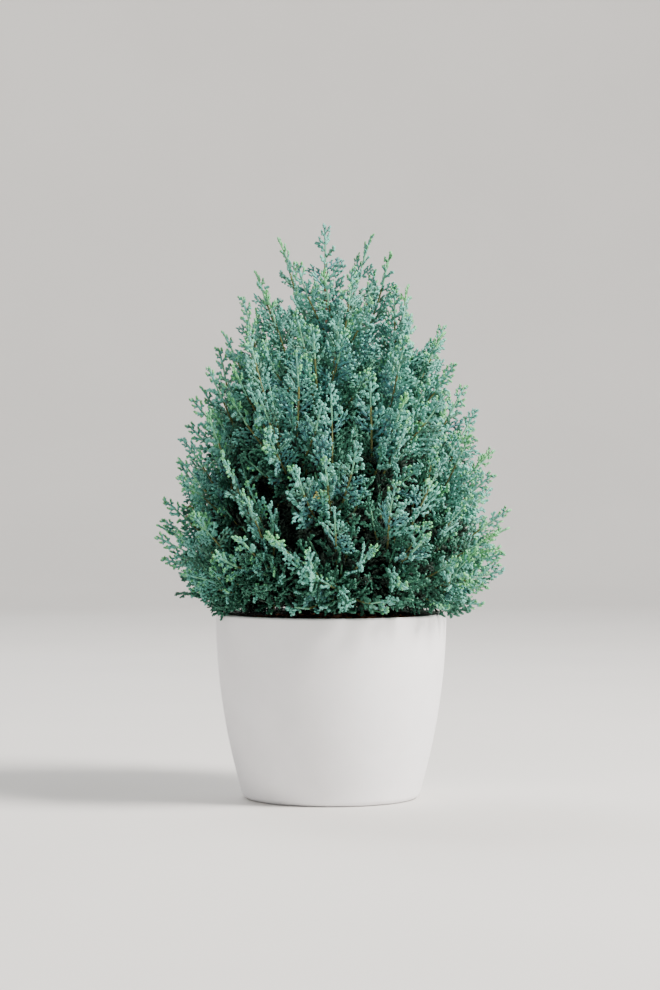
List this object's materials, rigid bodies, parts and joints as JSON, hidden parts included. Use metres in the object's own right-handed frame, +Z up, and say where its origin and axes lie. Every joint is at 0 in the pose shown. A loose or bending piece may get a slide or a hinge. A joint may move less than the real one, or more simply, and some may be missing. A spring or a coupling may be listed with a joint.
{
  "type": "potted lawson cypress",
  "caption": "Small potted conifer with a single upright trunk, upswept boughs and dense blue-green scale foliage in an egg-shaped crown, in a plain round white pot.",
  "frame": {"origin": "centre of the white pot's flat underside", "axes": "+Z up through the trunk to the leading shoot; the side seen in the picture faces -Y, and +X is to its right"},
  "size_m": [0.2294, 0.2181, 0.373],
  "materials": {
    "ceramic": "matte white with a very fine grain",
    "plastic": "matte black",
    "soil": "dark crumbly potting soil with bark chips",
    "bark": "red-brown bark, scaly on the trunk",
    "foliage": "waxy blue-green, lighter yellow-green at the tips"
  },
  "bodies": {
    "root": {"pot": "ceramic", "growing_pot": "plastic", "soil": "soil", "trunk": "bark", "bough_skirt_1": "bark", "bough_skirt_2": "bark", "bough_skirt_3": "bark", "bough_skirt_4": "bark", "bough_skirt_5": "bark", "bough_skirt_6": "bark", "bough_sweep_1": "bark", "bough_sweep_2": "bark", "bough_sweep_3": "bark", "bough_sweep_4": "bark", "bough_sweep_5": "bark", "bough_sweep_6": "bark", "bough_lower_1": "bark", "bough_lower_2": "bark", "bough_lower_3": "bark", "bough_lower_4": "bark", "bough_lower_5": "bark", "bough_middle_1": "bark", "bough_middle_2": "bark", "bough_middle_3": "bark", "bough_middle_4": "bark", "bough_middle_5": "bark", "foliage_skirt_1": "foliage", "foliage_skirt_2": "foliage", "foliage_skirt_3": "foliage", "foliage_skirt_4": "foliage", "foliage_skirt_5": "foliage", "foliage_skirt_6": "foliage", "foliage_sweep_1": "foliage", "foliage_sweep_2": "foliage", "foliage_sweep_3": "foliage", "foliage_sweep_4": "foliage", "foliage_sweep_5": "foliage", "foliage_sweep_6": "foliage", "foliage_lower_1": "foliage", "foliage_lower_2": "foliage", "foliage_lower_3": "foliage", "foliage_lower_4": "foliage", "foliage_lower_5": "foliage", "foliage_middle_1": "foliage", "foliage_middle_2": "foliage", "foliage_middle_3": "foliage", "foliage_middle_4": "foliage", "foliage_middle_5": "foliage", "foliage_upper_1": "foliage", "foliage_upper_2": "foliage", "foliage_upper_3": "foliage", "foliage_upper_4": "foliage", "foliage_high_1": "foliage", "foliage_high_2": "foliage", "foliage_high_3": "foliage", "foliage_top_1": "foliage", "foliage_top_2": "foliage", "foliage_leader": "foliage"}
  },
  "joints": []
}
